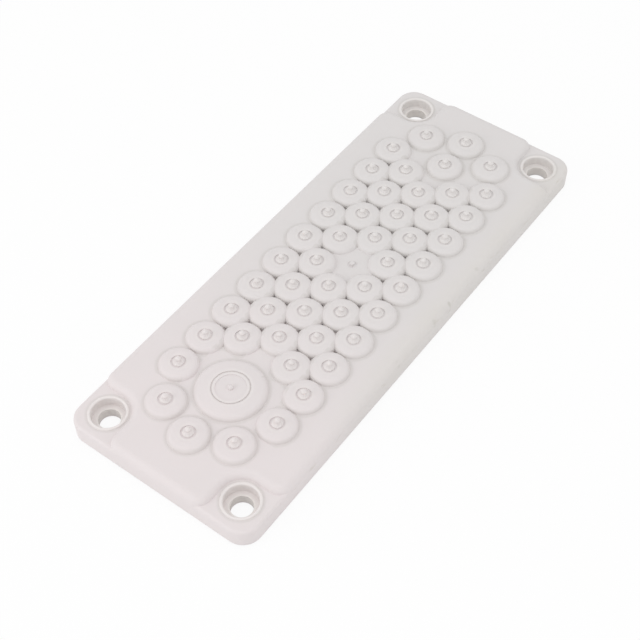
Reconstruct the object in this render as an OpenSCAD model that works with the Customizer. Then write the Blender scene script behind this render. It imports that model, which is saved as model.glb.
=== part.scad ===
// Multi-hole cable grommet: one moulded flange plate with 49 small and 1 large pierceable membranes.
// The plate lies flat, membranes up. X runs across it, Y along it, and Z = 0 is the foot of the seal bead.

/* [Plate] */
// Width of the plate, across X
plate_w = 82.5; // [80:0.5:96]
// Length of the plate, along Y
plate_l = 219; // [217:0.5:240]
// Thickness of the plate at its four corners, without the seal bead
plate_h = 7.9; // [7:0.1:14]
// Radius of the plate's upright corners
corner_r = 7.5; // [3:0.5:12]
// Rounding of the upper rim at the four corners
rim_r = 1.3; // [0.4:0.1:2]

/* [Raised field] */
// Height of the raised field above the corners
field_rise = 2.4; // [2:0.05:3]
// Rounding of the field's upper edge, along the sides and round the bays
field_r = 3; // [2:0.1:3.4]
// Radius of the bay that keeps the field clear of each screw collar
bay_r = 8.4; // [7.8:0.1:10]
// Rounding where a bay runs out to the rim
bay_fillet = 5; // [4:0.5:7]

/* [Screw holes] */
// Distance of the screw holes from the long edges
hole_inset_x = 10.9; // [9.5:0.1:12]
// Distance of the screw holes from the short edges
hole_inset_y = 11.1; // [9.5:0.1:12]
// Diameter of the through bore
bore_d = 8.4; // [5:0.1:9]
// Diameter of the recess for the screw head
head_d = 12.6; // [11:0.1:13.5]
// Depth of the recess for the screw head
head_depth = 3.6; // [2:0.1:5]
// Width of the rounded collar round the recess
collar_w = 1.3; // [0.8:0.1:1.4]
// Height of the collar above the corner
collar_h = 0.5; // [0.2:0.05:0.6]

/* [Membrane layout] */
// Distance between the rows of membranes, across X
row_pitch = 11.35; // [11:0.05:12.5]
// Distance between neighbours in one row, along Y
along_pitch = 15.3; // [15.1:0.05:16]
// Place of the injection point along the plate, which is the middle of the rows
gate_y = 8.1; // [6:0.1:10]
// Distance of the two end arcs' centres from the middle of the plate
end_arc_y = 66.2; // [65:0.1:68]
// Radius of the end arcs that the outermost membranes lie on
end_arc_r = 23.5; // [23:0.1:25]
// Angle between neighbours on an end arc
end_arc_step = 42; // [40:0.5:45]
// Place of the single membrane above the rows
top_single_y = 73.7; // [73:0.1:74.5]

/* [Small membranes] */
// Radius of a packed dome at its foot
small_r = 7.75; // [7:0.05:7.8]
// Radius of a packed dome's rounded shoulder
small_shoulder = 2.3; // [2:0.1:2.6]
// Radius of a dome of the end arcs at its foot
arc_r = 8.1; // [7.5:0.05:8.3]
// Radius of an arc dome's rounded shoulder
arc_shoulder = 2.5; // [2.2:0.1:2.8]
// Radius of the flat middle of a small crown
small_flat_r = 4.6; // [3.2:0.1:5]
// Height of a small crown above the field
small_crown_h = 1.95; // [1.7:0.05:2.3]
// Radius of the ring groove round the nipple
small_groove_r = 2.45; // [2.2:0.05:2.8]
// Width of that groove
small_groove_w = 0.85; // [0.6:0.05:1]
// Depth of that groove
small_groove_depth = 0.4; // [0.3:0.05:0.6]
// Radius of the flared nipple at its foot
nipple_foot_r = 2.05; // [1.8:0.05:2.2]
// Radius of the nipple at its waist
nipple_waist_r = 1.55; // [1.4:0.05:1.7]
// Height of the waist above the crown
nipple_waist_h = 0.5; // [0.3:0.05:0.7]
// Radius of the nipple at its top, where the pip stands
nipple_top_r = 1.2; // [1.15:0.05:1.35]
// Height of the nipple above the crown
nipple_h = 1.2; // [1:0.1:1.5]
// Radius of the pocket under a small dome
small_pocket_r = 5.5; // [4.5:0.1:5.8]

/* [Large membrane] */
// Radius of the large dome at its foot
large_r = 13.8; // [12.4:0.1:14]
// Radius of the large dome's rounded shoulder
large_shoulder = 2.6; // [2.3:0.1:2.9]
// Radius of the flat middle of the large crown
large_flat_r = 8.4; // [8.2:0.1:9]
// Height of the large crown above the field
large_crown_h = 2.2; // [1.9:0.05:2.5]
// Width of the large dome's ring groove
large_groove_w = 0.5; // [0.4:0.05:0.7]
// Depth of the large dome's ring groove
large_groove_depth = 0.35; // [0.2:0.05:0.5]
// Radius of the ring groove on the large dome
large_groove_r = 7.1; // [6.5:0.1:7.8]
// Radius of the shallow dish inside the ring groove
large_dish_r = 5.8; // [3:0.1:6]
// Depth of that dish
large_dish_depth = 0.25; // [0.1:0.05:0.5]
// Radius of the pocket under the large dome
large_pocket_r = 10.6; // [8:0.1:11]

/* [All membranes] */
// Slope of the crown from its flat middle to the shoulder, in degrees
crown_slope = 8; // [6:0.5:10]
// Radius of the piercing pip
pip_r = 1.1; // [0.8:0.05:1.15]
// Height of the piercing pip
pip_h = 1.4; // [1.2:0.1:1.7]
// Radius of the pit where three packed domes meet
pit_r = 1.2; // [0.9:0.05:1.35]
// Depth of that pit below the field
pit_depth = 1.3; // [0.8:0.05:1.5]
// Thickness of the membrane over its pocket
membrane_t = 1.2; // [0.8:0.05:1.4]

/* [Underside] */
// Thickness of the outer wall
wall_t = 4; // [3.5:0.1:6]
// Thickness of the deck that carries the membranes
deck_t = 2.3; // [2.1:0.1:3]
// Thickness of the moulding round a screw bore, from the bore's middle
boss_r = 10.4; // [9.6:0.1:11]
// Width of the seal bead
seal_w = 1.8; // [1:0.1:2]
// Height of the seal bead below the wall
seal_h = 0.5; // [0.2:0.05:0.8]
// Thickness of the ribs that hold the long walls upright
rib_t = 1.6; // [1:0.1:3]
// Number of ribs on each long wall
rib_count = 7; // [3:1:9]
// Height of the broken-off stub at the injection point
gate_h = 1; // [0.4:0.1:1.5]
// Radius of that stub
gate_r = 0.9; // [0.5:0.1:1.2]

/* [Hidden] */
$fn = 96;
eps = 0.01;
body_colour = [0.86, 0.85, 0.84];
corner_z = seal_h + plate_h;
field_z = corner_z + field_rise;
small_crown_z = field_z + small_crown_h;
large_crown_z = field_z + large_crown_h;
roof_z = field_z - deck_t;
ledge_z = corner_z - head_depth;
hole_x = plate_w / 2 - hole_inset_x;
hole_y = plate_l / 2 - hole_inset_y;
gate_dish_r = 2 * gate_r;
gate_dish_depth = 0.2;
nipple_bore_r = 0.7;
nipple_wall = 0.8;
pocket_draft = 0.4;
rib_reach = plate_w / 2 - wall_t - (2 * row_pitch + small_r);
rib_run = 2 * end_arc_y;
seal_inset = (wall_t - seal_w) / 2;

// Rows of membranes as [row, first place, last place], in pitches from the injection point
rows = [[-2, -5, 4], [-1, -3.5, 3.5], [0, -3, 3], [1, -3.5, 3.5], [2, -5, 4]];
row_places = [for (r = rows) for (k = [r[1] : r[2]]) if (r[0] != 0 || k != 0)
    [r[0] * row_pitch, gate_y + k * along_pitch]];
arc_places = [for (side = [-1, 1]) for (k = [-1 : 1])
    [end_arc_r * sin(k * end_arc_step), side * (end_arc_y + end_arc_r * cos(k * end_arc_step))]];
packed_places = concat(row_places, [[0, top_single_y]]);
small_places = concat(packed_places, arc_places);
large_place = [0, -end_arc_y];

// True where a row has a dome at this place
function has_dome(row, k) = abs(row) <= 2 && k >= rows[row + 2][1] && k <= rows[row + 2][2]
    && (row != 0 || k != 0);

// Places where a pair of neighbours in one row meets a dome of the next row
pit_shift = (pow(row_pitch, 2) - pow(along_pitch / 2, 2)) / (2 * row_pitch);
pit_places = [for (r = rows) for (k = [r[1] : r[2] - 1]) for (side = [-1, 1])
    if (has_dome(r[0], k) && has_dome(r[0], k + 1) && has_dome(r[0] + side, k + 0.5))
        [r[0] * row_pitch + side * pit_shift, gate_y + (k + 0.5) * along_pitch]];

// Half of a section with a rounded upper edge, for rim and corner alike
module edge_profile(reach, rim, height) {
    square([reach, height - rim]);
    square([reach - rim, height]);
    translate([reach - rim, height - rim]) circle(rim);
}

// A bar along one axis with both upper edges rounded
module rounded_bar(width, length, rim, height) {
    rotate([90, 0, 0])
        linear_extrude(length, center = true)
            for (side = [0, 1]) mirror([side, 0]) edge_profile(width / 2, rim, height);
}

// A slab with round upright corners and a rounded upper rim, standing on Z = 0
module rounded_slab(width, length, corner, rim, height) {
    rounded_bar(width, length - 2 * corner, rim, height);
    rotate(90) rounded_bar(length, width - 2 * corner, rim, height);
    for (x = [-1, 1], y = [-1, 1])
        translate([x * (width / 2 - corner), y * (length / 2 - corner)])
            rotate_extrude() intersection() {
                edge_profile(corner, rim, height);
                square([corner, height]);
            }
}

// What one bay takes off the field, with the rounding of the field's edge
module bay_section() {
    square([bay_r, field_z + 1]);
    difference() {
        translate([0, field_z - field_r]) square([bay_r + field_r, field_r + 1]);
        translate([bay_r + field_r, field_z - field_r]) circle(field_r);
    }
}

// The part of the field that runs round the inner side of one bay
module bay_corner() {
    reach = bay_r + field_r;
    difference() {
        translate([hole_x - reach, hole_y - reach, corner_z - 1])
            cube([reach, reach, field_rise + 1]);
        translate([hole_x, hole_y]) rotate_extrude() bay_section();
    }
}

// The raised field: a lengthwise and a crosswise slab, joined round the four bays
module raised_field() {
    translate([0, 0, seal_h])
        rounded_slab(2 * (hole_x - bay_r), plate_l, bay_fillet, field_r, field_z - seal_h);
    translate([0, 0, seal_h])
        rounded_slab(plate_w, 2 * (hole_y - bay_r), bay_fillet, field_r, field_z - seal_h);
    for (x = [0, 1], y = [0, 1]) mirror([x, 0]) mirror([0, y]) bay_corner();
}

// A rectangle with a bay cut round each screw hole, and both ends of each bay rounded off
module bayed_outline(inset, radius) {
    half_w = plate_w / 2 - inset;
    half_l = plate_l / 2 - inset;
    difference() {
        square([2 * half_w, 2 * half_l], center = true);
        for (x = [0, 1], y = [0, 1]) mirror([x, 0]) mirror([0, y]) {
            translate([hole_x, hole_y]) circle(radius);
            translate([hole_x - radius, hole_y]) square([half_w, half_l]);
            translate([hole_x, hole_y - radius]) square([half_w, half_l]);
            translate([hole_x - radius, half_l]) bay_end();
            translate([half_w, hole_y - radius]) rotate(-90) mirror([1, 0]) bay_end();
        }
    }
}

// What a rounded end takes off the corner between a bay and the outline
module bay_end() {
    difference() {
        translate([-bay_fillet, -bay_fillet]) square([bay_fillet + 1, bay_fillet + 1]);
        translate([-bay_fillet, -bay_fillet]) circle(bay_fillet);
        translate([-bay_fillet - 1, -bay_fillet - 1]) square([bay_fillet + 1, 1]);
    }
}

// A dome's half section: flat middle, gently sloping crown, round shoulder and upright skirt
module dome_section(radius, shoulder, flat_r, crown_h, skirt) {
    centre_x = radius - shoulder;
    tangent_x = centre_x + shoulder * sin(crown_slope);
    tangent_z = crown_h - (tangent_x - flat_r) * tan(crown_slope);
    centre_z = tangent_z - shoulder * cos(crown_slope);
    foot_z = min(centre_z, 0) - skirt;
    polygon([
        [0, foot_z], [radius, foot_z], [radius, centre_z], [centre_x, centre_z],
        [tangent_x, tangent_z], [flat_r, crown_h], [0, crown_h]
    ]);
    intersection() {
        translate([centre_x, centre_z]) circle(shoulder);
        translate([centre_x, centre_z]) square(shoulder);
    }
}

// The ring groove's half section, with its floor below the crown
module groove_section(radius, width, depth, crown_h) {
    translate([radius - width / 2, crown_h - depth]) square([width, depth + 1]);
}

// The round-ended pip, standing on Z = 0
module pip_section() {
    square([pip_r, pip_h - pip_r / 2]);
    intersection() {
        translate([0, pip_h - pip_r]) circle(pip_r);
        square([pip_r, pip_h]);
    }
}

// The flared nipple's half section, with the pip on top
module nipple_section() {
    polygon([
        [0, 0], [nipple_foot_r, 0], [nipple_foot_r, small_crown_h],
        [nipple_waist_r, small_crown_h + nipple_waist_h],
        [nipple_top_r, small_crown_h + nipple_h], [0, small_crown_h + nipple_h]
    ]);
    translate([0, small_crown_h + nipple_h]) pip_section();
}

// One small dome with its ring groove, nipple and pip, standing on the field
module small_dome(radius, shoulder, skirt) {
    rotate_extrude() {
        difference() {
            dome_section(radius, shoulder, small_flat_r, small_crown_h, skirt);
            groove_section(small_groove_r, small_groove_w, small_groove_depth, small_crown_h);
        }
        nipple_section();
    }
}

// The large dome with its ring groove, shallow dish and pip
module large_dome() {
    rotate_extrude() {
        difference() {
            dome_section(large_r, large_shoulder, large_flat_r, large_crown_h, eps);
            groove_section(large_groove_r, large_groove_w, large_groove_depth, large_crown_h);
            translate([0, large_crown_h - large_dish_depth]) square([large_dish_r, 1]);
        }
        translate([0, large_crown_h - large_dish_depth]) pip_section();
    }
}

// The pocket under a small dome, running up into the nipple
module small_pocket() {
    top = small_crown_z - membrane_t;
    rotate_extrude() polygon([
        [0, roof_z - eps], [small_pocket_r, roof_z - eps],
        [small_pocket_r - pocket_draft, top], [nipple_bore_r + pocket_draft, top],
        [nipple_bore_r, small_crown_z + nipple_h - nipple_wall],
        [0, small_crown_z + nipple_h - nipple_wall]
    ]);
}

// The pocket under the large dome
module large_pocket() {
    top = large_crown_z - membrane_t;
    translate([0, 0, roof_z - eps])
        cylinder(h = top - roof_z + eps, r1 = large_pocket_r, r2 = large_pocket_r - pocket_draft);
}

// The stub left at the injection point, in its shallow dish
module gate_mark() {
    difference() {
        children();
        translate([0, gate_y, field_z - gate_dish_depth]) cylinder(h = 1, r = gate_dish_r);
    }
    translate([0, gate_y, field_z - deck_t / 2]) cylinder(h = deck_t / 2 + gate_h, r = gate_r);
}

// The rounded collar round one screw recess
module collar() {
    rotate_extrude() translate([head_d / 2 + collar_w / 2, corner_z + collar_h - collar_w / 2])
        circle(collar_w / 2);
}

// The stepped screw hole
module screw_hole() {
    translate([0, 0, -1]) cylinder(h = corner_z + 2, d = bore_d);
    translate([0, 0, ledge_z]) cylinder(h = head_depth + 2, d = head_d);
}

// The open underside below the deck
module underside() {
    translate([0, 0, -1]) linear_extrude(roof_z + 1) bayed_outline(wall_t, boss_r);
}

// Ribs between the deck's edge and the two long walls
module wall_ribs() {
    step = rib_run / (rib_count - 1);
    for (x = [0, 1], k = [0 : rib_count - 1]) mirror([x, 0])
        translate([plate_w / 2 - wall_t - rib_reach, k * step - rib_run / 2 - rib_t / 2, seal_h])
            translate([0, rib_t, 0]) rotate([90, 0, 0]) linear_extrude(rib_t) polygon([
                [0, roof_z - seal_h], [rib_reach, 0],
                [rib_reach + eps, 0], [rib_reach + eps, roof_z - seal_h + eps], [0, roof_z - seal_h + eps]
            ]);
}

// The seal bead under the wall, which passes inside the screw holes
module seal_bead() {
    linear_extrude(seal_h + eps) difference() {
        bayed_outline(seal_inset, boss_r - wall_t + seal_inset);
        bayed_outline(seal_inset + seal_w, boss_r - wall_t + seal_inset + seal_w);
    }
}

module grommet_plate() {
    color(body_colour) difference() {
        union() {
            gate_mark() difference() {
                union() {
                    translate([0, 0, seal_h]) rounded_slab(plate_w, plate_l, corner_r, rim_r, plate_h);
                    raised_field();
                }
                underside();
                for (place = pit_places) translate([place[0], place[1], field_z - pit_depth])
                    cylinder(h = pit_depth + 1, r = pit_r);
            }
            for (x = [-1, 1], y = [-1, 1]) translate([x * hole_x, y * hole_y]) collar();
            for (place = packed_places) translate([place[0], place[1], field_z])
                small_dome(small_r, small_shoulder, pit_depth);
            for (place = arc_places) translate([place[0], place[1], field_z])
                small_dome(arc_r, arc_shoulder, eps);
            translate([large_place[0], large_place[1], field_z]) large_dome();
            wall_ribs();
            seal_bead();
        }
        for (x = [-1, 1], y = [-1, 1]) translate([x * hole_x, y * hole_y]) screw_hole();
        for (place = small_places) translate(place) small_pocket();
        translate(large_place) large_pocket();
    }
}

grommet_plate();
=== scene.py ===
# Product picture of a soft moulded cable grommet plate, seen from above its near right corner.
# The CAD part is the whole object. This script gives it its surface, and adds the floor, the light
# and the camera.
import math

import bpy
from mathutils import Euler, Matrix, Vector

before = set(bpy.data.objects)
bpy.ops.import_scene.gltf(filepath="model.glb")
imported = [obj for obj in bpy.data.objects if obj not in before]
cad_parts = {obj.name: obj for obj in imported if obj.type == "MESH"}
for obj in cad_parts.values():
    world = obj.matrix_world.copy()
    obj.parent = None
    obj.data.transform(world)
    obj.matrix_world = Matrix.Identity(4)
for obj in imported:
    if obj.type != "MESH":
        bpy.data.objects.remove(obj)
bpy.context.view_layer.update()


# The plate is one moulding in a pale, slightly pinkish grey elastomer that lets a little light
# into its surface. Its colour drifts faintly from a lighter, pinker tone at the low end, where the
# large membrane is, to a greyer one at the high end.
class Shade:
    """A value in a material's node tree. Sums, differences and products of it add Math nodes."""

    def __init__(self, tree, socket):
        self.tree = tree
        self.socket = socket

    def node(self, kind, settings, sockets):
        """Add a node to the same tree: its settings first, then what its sockets hold or join."""
        made = self.tree.nodes.new(kind)
        for name, setting in settings.items():
            setattr(made, name, setting)
        for name, held in sockets.items():
            if isinstance(held, Shade):
                self.tree.links.new(held.socket, made.inputs[name])
            else:
                made.inputs[name].default_value = held
        return made

    def out(self, kind, settings, sockets, outlet=0):
        """Add a node and hand back one of its outlets."""
        return Shade(self.tree, self.node(kind, settings, sockets).outputs[outlet])

    def math(self, operation, other=0.0):
        """Add a Math node that works on this value and, where the operation has two, the other."""
        return self.out("ShaderNodeMath", {"operation": operation}, {0: self, 1: other})

    def limited(self, low, high):
        """This value, kept between two others."""
        return self.math("MINIMUM", high).math("MAXIMUM", low)

    def reach(self, other):
        """The length of the slope whose two sides are this value and the other."""
        return (self * self + other * other).math("POWER", 0.5)

    def fade(self, start, end):
        """0 up to start and 1 past end, with a smooth step between, or downwards if end is less."""
        return self.out("ShaderNodeMapRange", {"interpolation_type": "SMOOTHSTEP"},
                        {"Value": self, "From Min": start, "From Max": end})

    def band(self, start, full, drop, end):
        """1 from full to drop, and 0 below start and above end."""
        return self.fade(start, full) * self.fade(end, drop)

    def mixed(self, share, first, second):
        """A colour between two others."""
        return self.out("ShaderNodeMix", {"data_type": "RGBA"}, {0: share, 6: first, 7: second}, 2)

    def __add__(self, other):
        return self.math("ADD", other)

    def __sub__(self, other):
        return self.math("SUBTRACT", other)

    def __mul__(self, other):
        return self.math("MULTIPLY", other)

    def __radd__(self, other):
        return self.out("ShaderNodeMath", {"operation": "ADD"}, {0: other, 1: self})

    def __rsub__(self, other):
        return self.out("ShaderNodeMath", {"operation": "SUBTRACT"}, {0: other, 1: self})

    def __rmul__(self, other):
        return self.out("ShaderNodeMath", {"operation": "MULTIPLY"}, {0: other, 1: self})


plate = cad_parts["grommet_plate"]
elastomer = bpy.data.materials.new("pale_elastomer")
elastomer.use_nodes = True
moulded = elastomer.node_tree.nodes["Principled BSDF"]
moulded.inputs["Subsurface Weight"].default_value = 0.1
moulded.inputs["Subsurface Radius"].default_value = (1.0, 0.96, 0.92)
moulded.inputs["Subsurface Scale"].default_value = 0.0010
for slot in plate.material_slots:
    slot.material = elastomer

bare = Shade(elastomer.node_tree, None)
place = bare.out("ShaderNodeTexCoord", {}, {}, "Object")
across = bare.out("ShaderNodeSeparateXYZ", {}, {0: place}, "X")
along = bare.out("ShaderNodeSeparateXYZ", {}, {0: place}, "Y")
height = bare.out("ShaderNodeSeparateXYZ", {}, {0: place}, "Z")

low_end_pink = (0.780, 0.722, 0.722, 1.0)
high_end_grey = (0.725, 0.699, 0.692, 1.0)
low_end_y, high_tone_y = -0.105, 0.040
cloud_scale, cloud_share = 55.0, 0.5
noise = bare.out("ShaderNodeTexNoise", {}, {"Vector": place, "Scale": cloud_scale, "Detail": 3.0})
cloud = noise - 0.5
drift = along.fade(low_end_y, high_tone_y)
tone = bare.mixed(drift + cloud_share * cloud, low_end_pink, high_end_grey)

# The large membrane at the low end is a thin dome of the same moulding, with a fine ring groove
# round a shallow dish, where it is cut open for the thickest cable. The lips of the groove get a
# painted highlight, and its floor a painted shade.
large_y = -0.0662
large_edge = (0.0136, 0.0140)
large_lip_highlight = (0.0056, 0.0062, 0.0080, 0.0086)
large_groove_shade = (0.0064, 0.0069, 0.0073, 0.0078)
crown_heights = (0.0120, 0.0122)
large_lip_highlight_share, large_groove_shade_share = 0.22, 0.12
from_large = across.reach(along - large_y)
on_crowns = height.fade(*crown_heights)
painted_light = large_lip_highlight_share * from_large.band(*large_lip_highlight) * on_crowns
shade_and_dust = large_groove_shade_share * from_large.band(*large_groove_shade) * on_crowns

# Each of the 49 small membranes is a thin dome too, with a ring groove round a flared nipple that
# is pierced for the cable. They stand in five straight rows, with one place left bare at the gate
# through which the plate was moulded, in an arc of three at each end, and one stands alone.
row_pitch, along_pitch = 0.01135, 0.0153
outermost_row = 2.0
gate_y = 0.0081
rows_low_y, rows_high_y = -0.04545, 0.06165
arc_y, arc_radius, arc_step = -large_y, 0.0235, math.radians(42.0)
single_y = 0.0737
row = (across * (1.0 / row_pitch)).math("ROUND").limited(-outermost_row, outermost_row)
rows_from_middle = row.math("ABSOLUTE")
stagger = 0.5 * along_pitch * rows_from_middle.math("MODULO", 2.0)
along_row = (along - gate_y - stagger).math("PINGPONG", 0.5 * along_pitch)
past_high_end = (along - rows_high_y - 0.5 * along_pitch * rows_from_middle).math("GREATER_THAN")
past_low_end = (rows_low_y - along_pitch * rows_from_middle - along).math("GREATER_THAN")
from_row = (across - row_pitch * row).reach(along_row) + past_high_end + past_low_end
out_from_arc = along.math("ABSOLUTE") - arc_y
from_arc_middle = across.reach(out_from_arc)
turn = across.math("ARCTAN2", out_from_arc)
turn_off = turn - arc_step * (turn * (1.0 / arc_step)).math("ROUND").limited(-1.0, 1.0)
from_arc = (from_arc_middle * turn_off.math("SINE")).reach(
    from_arc_middle * turn_off.math("COSINE") - arc_radius)
from_single = across.reach(along - single_y)
from_membrane = from_row.math("MINIMUM", from_arc).math("MINIMUM", from_single)

# The nipples are painted lighter, less so towards the tip: painted light that lifts the shade on
# their flanks. The lip round each ring groove gets a painted highlight.
nipple_edge = (0.0022, 0.0020)
nipple_heights = (0.0127, 0.0131)
groove_lip_highlight = (0.0028, 0.0030, 0.0034, 0.0042)
nipple_light_share, tip_loss, groove_lip_highlight_share = 0.40, 0.4, 0.20
on_small_domes = on_crowns * from_large.fade(*large_edge)
nipple = from_membrane.fade(*nipple_edge) * (1 - tip_loss * height.fade(*nipple_heights))
painted_light = painted_light + (nipple_light_share * nipple
               + groove_lip_highlight_share * from_membrane.band(*groove_lip_highlight)) * on_small_domes

# The feet of all the domes meet the raised field in a crease, in the same moulding. Fine dust and
# painted shade darken it there, but not on the bare place at the gate, which has no dome.
small_foot = (0.0066, 0.0077, 0.0083, 0.0093)
large_foot = (0.0126, 0.0137, 0.0142, 0.0152)
gate_edge = (0.0088, 0.0092)
field_heights = (0.0104, 0.0107)
crease_share = 0.24
off_gate = across.reach(along - gate_y).fade(*gate_edge)
small_crease = from_membrane.band(*small_foot) * off_gate
crease = small_crease.math("MAXIMUM", from_large.band(*large_foot)) * height.fade(*field_heights)
shade_and_dust = shade_and_dust + crease_share * crease

# A stepped screw hole goes through each corner of the moulding: a bore, a recess for the screw's
# head and a low rounded collar round it. The collars and bores are painted lighter, as painted
# light, and the foot of each collar gets a painted shade.
# The pale tone painted in as light, and the tone of dust and painted shade.
painted_light_tone = (0.850, 0.818, 0.790, 1.0)
shade_and_dust_tone = (0.550, 0.535, 0.495, 1.0)
hole_x, hole_y = 0.03035, 0.0984
collar_edge = (0.0078, 0.0074)
bore_edge = (0.0050, 0.0044)
collar_foot_shade = (0.0072, 0.0077, 0.0080, 0.0088)
wall_foot_heights = (0.0008, 0.0012)
corner_heights = (0.0094, 0.0088)
collar_light_share, bore_light_share, collar_foot_shade_share = 0.48, 0.45, 0.24
from_hole = (across.math("ABSOLUTE") - hole_x).reach(along.math("ABSOLUTE") - hole_y)
off_the_foot = height.fade(*wall_foot_heights)
collar = from_hole.fade(*collar_edge) * off_the_foot
bore = from_hole.fade(*bore_edge) * off_the_foot
painted_light = painted_light + collar_light_share * collar + bore_light_share * bore
shade_and_dust = shade_and_dust + collar_foot_shade_share * from_hole.band(*collar_foot_shade) * height.fade(*corner_heights)
# Painted light lifts the nipples, groove lips, collars and bores. Dust and painted shade darken the
# creases, and painted shade darkens the large groove and the collar feet.
tone = bare.mixed(painted_light, tone, painted_light_tone)
tone = bare.mixed(shade_and_dust, tone, shade_and_dust_tone)

# The right rim of the moulding is where the plate is held. It carries a thin dull film from
# hands, a few faint rubs along its upper edge, one deeper scuff and three faint ones.
hand_film = (0.705, 0.676, 0.640, 1.0)
handled = (0.560, 0.525, 0.460, 1.0)
scuffed = (0.400, 0.395, 0.330, 1.0)
film_across, film_along = (0.0310, 0.0390), (-0.080, -0.015)
film_even, film_cloudy = 0.75, 1.5
streak_squash, patch_scale = (1.0, 0.35, 1.0), 420.0
rim_across, rub_heights = (0.0398, 0.0405), (0.0045, 0.0065)
rub_grains, scuff_grains = (0.60, 0.70), (0.40, 0.56)
deep_x, deep_y, deep_edge = 0.0406, 0.0146, (0.0010, 0.0003)
faint_places, faint_edge = ((0.0408, 0.0040), (0.0407, -0.0200), (0.0398, 0.0350)), (0.0013, 0.0004)
scuff_heights = (0.0052, 0.0066)
film_share, rub_share, scuff_share, faint_share = 0.60, 0.34, 0.32, 0.5
streaked = bare.out("ShaderNodeMapping", {}, {"Vector": place, "Scale": streak_squash})
patch = bare.out("ShaderNodeTexNoise", {},
                 {"Vector": streaked, "Scale": patch_scale, "Detail": 4.0})
film = across.fade(*film_across) * along.fade(*film_along) * (film_even + film_cloudy * cloud)
rub = patch.fade(*rub_grains) * across.fade(*rim_across) * height.fade(*rub_heights)
scuff = (across - deep_x).reach(along - deep_y).fade(*deep_edge)
for faint_x, faint_y in faint_places:
    faint = (across - faint_x).reach(along - faint_y).fade(*faint_edge)
    scuff = scuff + faint_share * faint * patch.fade(*scuff_grains)
tone = bare.mixed(film_share * film, tone, hand_film)
tone = bare.mixed(rub_share * rub, tone, handled)
tone = bare.mixed(scuff_share * scuff * height.fade(*scuff_heights), tone, scuffed)

# The mould's spark-eroded wall leaves the whole moulding matte, with a fine even grain. The collars
# are smoother and shine a little more.
matte, cloudy_sheen, collar_sheen = 0.60, 0.16, 0.06
grain_scale, grain_strength, grain_depth = 1900.0, 0.25, 0.00004
sheen = matte + cloudy_sheen * cloud - collar_sheen * collar
grain = bare.out("ShaderNodeTexNoise", {}, {"Vector": place, "Scale": grain_scale, "Detail": 2.0})
relief = bare.out("ShaderNodeBump", {},
                  {"Strength": grain_strength, "Distance": grain_depth, "Height": grain})
elastomer.node_tree.links.new(tone.socket, moulded.inputs["Base Color"])
elastomer.node_tree.links.new(sheen.socket, moulded.inputs["Roughness"])
elastomer.node_tree.links.new(relief.socket, moulded.inputs["Normal"])


# The ground is a sheet of white paper that the plate lies on, far larger than the picture. The
# camera sees it as nearly plain white, with a faint shadow left under the plate's edges.
def seen_rays(tree):
    """1 for a ray from the camera or one that gloss or glass sends on, and 0 for any other."""
    ray = Shade(tree, None).node("ShaderNodeLightPath", {}, {})
    camera_ray, glossy_ray, clear_ray = [
        Shade(tree, ray.outputs[kind])
        for kind in ("Is Camera Ray", "Is Glossy Ray", "Is Transmission Ray")]
    return (camera_ray + glossy_ray + clear_ray).math("MINIMUM", 1.0)


ground_size = 6.0
bpy.ops.object.select_all(action="DESELECT")
bpy.ops.mesh.primitive_plane_add(size=ground_size, location=(0.0, 0.0, 0.0))
ground = bpy.context.object
ground.name = "ground"
paper = bpy.data.materials.new("white_paper")
paper.use_nodes = True
sheet = paper.node_tree.nodes["Principled BSDF"]
sheet.inputs["Base Color"].default_value = (0.93, 0.93, 0.93, 1.0)
sheet.inputs["Roughness"].default_value = 0.9
plain_white_share = 0.90
seen = seen_rays(paper.node_tree)
lit_paper = Shade(paper.node_tree, sheet.outputs[0])
white = seen.out("ShaderNodeEmission", {}, {"Color": (1.0, 1.0, 1.0, 1.0), "Strength": 1.0})
mixed = seen.out("ShaderNodeMixShader", {}, {0: plain_white_share * seen, 1: lit_paper, 2: white})
paper_output = paper.node_tree.nodes["Material Output"]
paper.node_tree.links.new(mixed.socket, paper_output.inputs["Surface"])
ground.data.materials.append(paper)

# Soft studio light: an even white surround, a wide low lamp from the left of the picture that
# leaves a soft shade on the right side of each membrane, and two weaker lamps, one from the right
# and one from above.
surround_light = 0.76
lamp_width = 0.6
lamps = (("softbox_left", (-0.453, -0.785, 0.423), 1.9),
         ("softbox_right", (0.906, 0.0, 0.423), 0.85),
         ("softbox_above", (0.0, 0.0, 1.0), 1.3))
world = bpy.data.worlds.new("studio")
world.use_nodes = True
surround = world.node_tree.nodes["Background"]
surround.inputs["Color"].default_value = (1.0, 1.0, 1.0, 1.0)
strength = surround_light + (1.0 - surround_light) * seen_rays(world.node_tree)
world.node_tree.links.new(strength.socket, surround.inputs["Strength"])
bpy.context.scene.world = world
for name, lamp_place, watts in lamps:
    lamp_data = bpy.data.lights.new(name, "AREA")
    lamp_data.shape = "RECTANGLE"
    lamp_data.size, lamp_data.size_y = lamp_width, lamp_width
    lamp_data.energy = watts
    lamp = bpy.data.objects.new(name, lamp_data)
    lamp.location = Vector(lamp_place)
    to_plate = Vector((0.0, 0.0, 0.0)) - lamp.location
    lamp.rotation_euler = to_plate.to_track_quat("-Z", "Y").to_euler()
    bpy.context.scene.collection.objects.link(lamp)

# The camera stands above the near right corner, about half a metre away, as it did for the
# photograph, and looks down on the plate.
camera_place = (0.18438, -0.25756, 0.38167)
camera_turn = (38.577, 0.370, 36.532)
camera_data = bpy.data.cameras.new("camera")
camera_data.sensor_width = 36.0
camera_data.lens = 71.4
camera_data.clip_start, camera_data.clip_end = 0.01, 20.0
camera = bpy.data.objects.new("camera", camera_data)
camera.location = Vector(camera_place)
camera.rotation_euler = Euler([math.radians(degrees) for degrees in camera_turn], "XYZ")
bpy.context.scene.collection.objects.link(camera)
bpy.context.scene.camera = camera
bpy.context.scene.view_settings.view_transform = "Standard"
